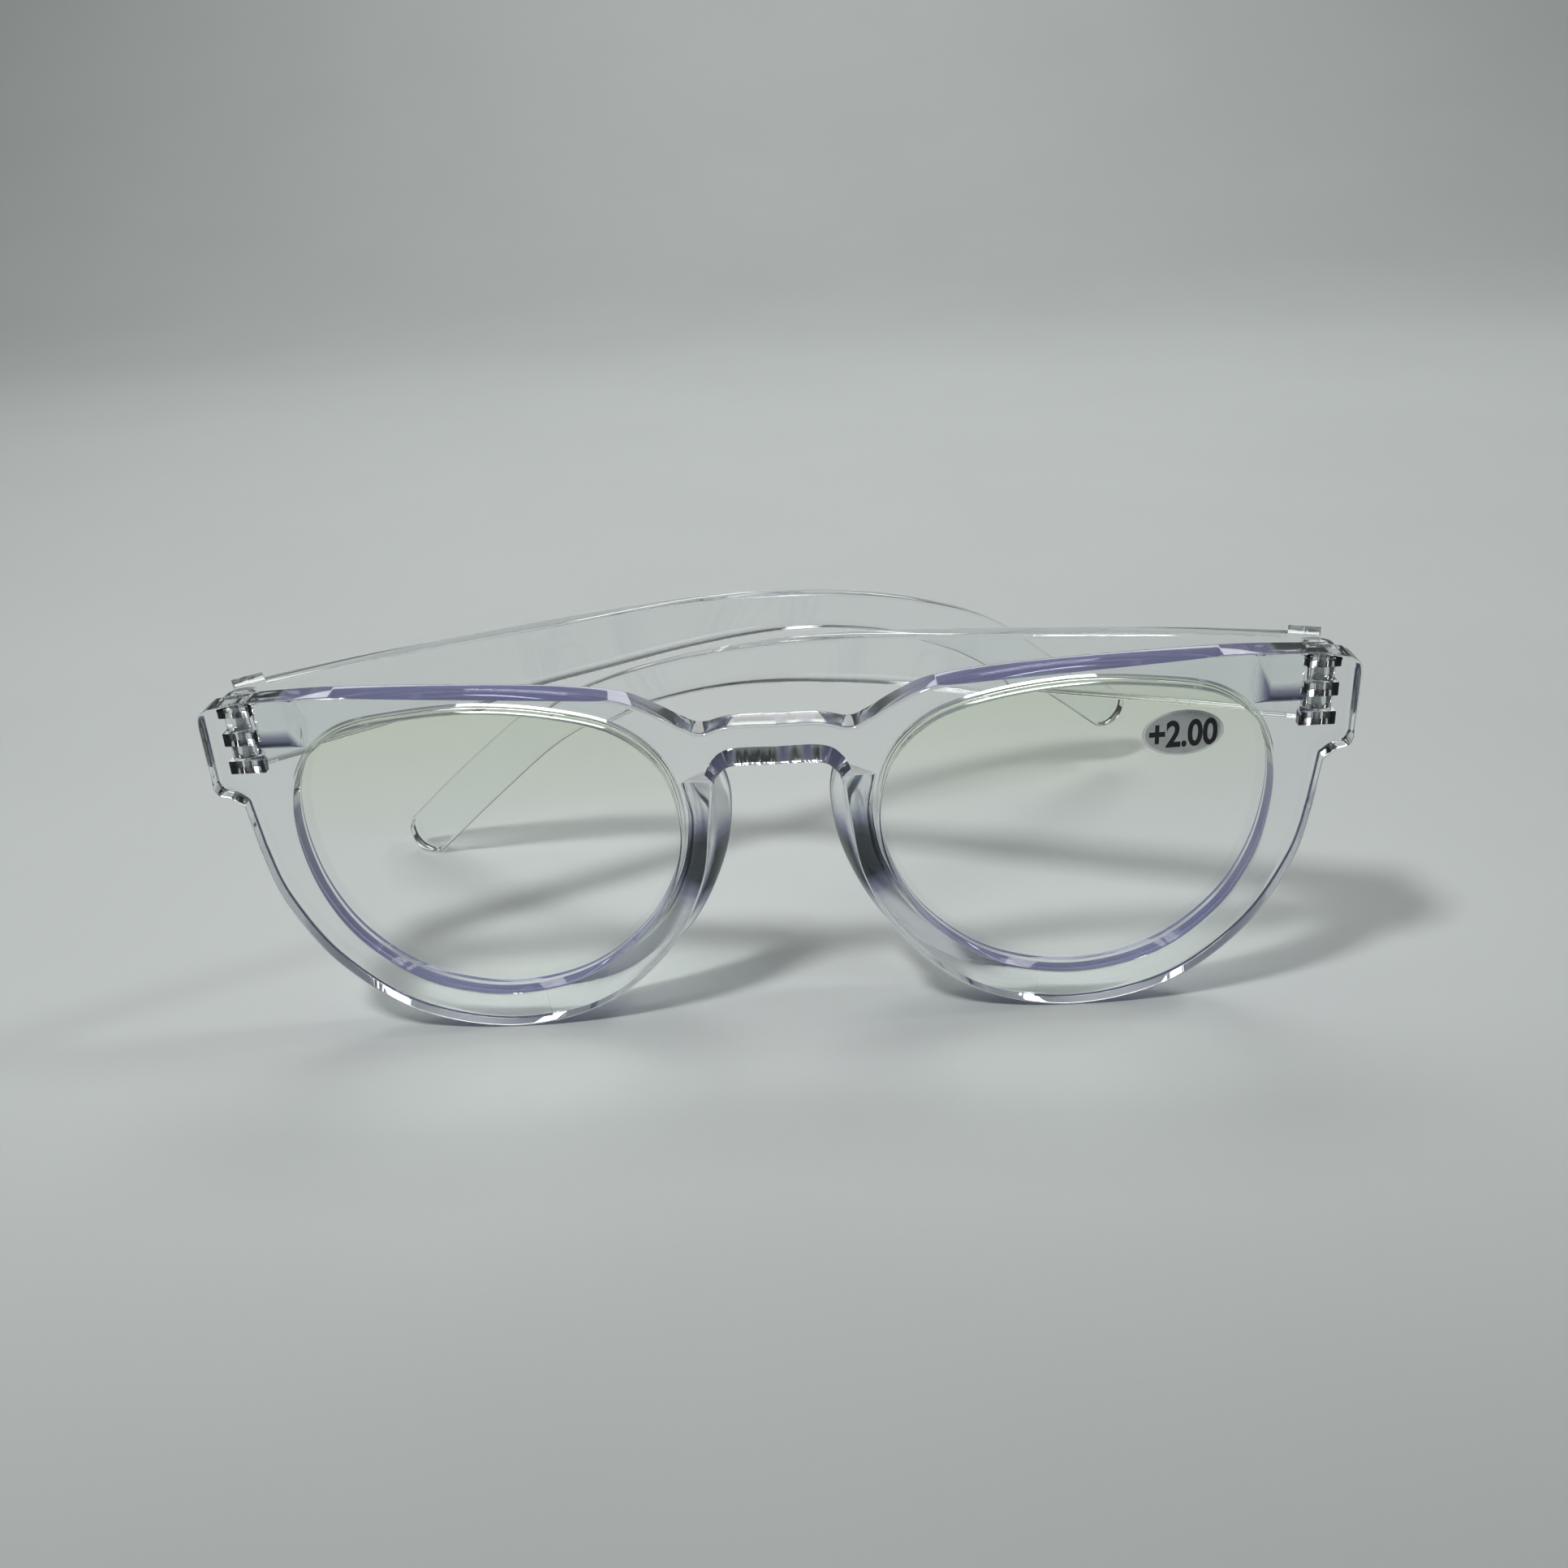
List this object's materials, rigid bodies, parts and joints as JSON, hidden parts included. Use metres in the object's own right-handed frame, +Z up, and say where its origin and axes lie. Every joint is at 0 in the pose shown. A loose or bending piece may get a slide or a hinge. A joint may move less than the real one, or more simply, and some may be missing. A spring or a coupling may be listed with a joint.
{
  "type": "eyeglasses",
  "caption": "Clear plastic reading glasses with rounded lenses, moulded nose pads and temples folded one over the other.",
  "frame": {"origin": "on the surface the glasses stand on, under the middle of the folded glasses", "axes": "+X towards the wearer's left, +Y from the front towards the folded temples (the front looks along -Y), +Z up"},
  "size_m": [0.145, 0.0762, 0.0502],
  "materials": {
    "clear_plastic": "polished, crystal clear with a faint violet-blue tint in the depth",
    "lens_plastic": "polished, clear with a faint yellow-green surface coating",
    "label_film": "thin printed film, satin",
    "screw_steel": "turned steel"
  },
  "bodies": {
    "front": {"front_frame": "clear_plastic", "left_lens": "lens_plastic", "right_lens": "lens_plastic", "power_label": "label_film", "left_hinge_screw": "screw_steel", "right_hinge_screw": "screw_steel"},
    "left_temple": {"left_temple": "clear_plastic"},
    "right_temple": {"right_temple": "clear_plastic"}
  },
  "joints": [
    {"name": "right_temple_fold", "type": "hinge", "parent": "front", "child": "right_temple", "pos_m": [-0.0688, -0.03149, 0.044], "axis": [0, 0, 1], "range_deg": [-12, 62.5]},
    {"name": "left_temple_fold", "type": "hinge", "parent": "front", "child": "left_temple", "pos_m": [0.0688, -0.03149, 0.044], "axis": [0, 0, -1], "range_deg": [-13.54, 70.5]}
  ],
  "couplings": [
    {"joint": "left_temple_fold", "follows": "right_temple_fold", "ratio": 1.128}
  ]
}
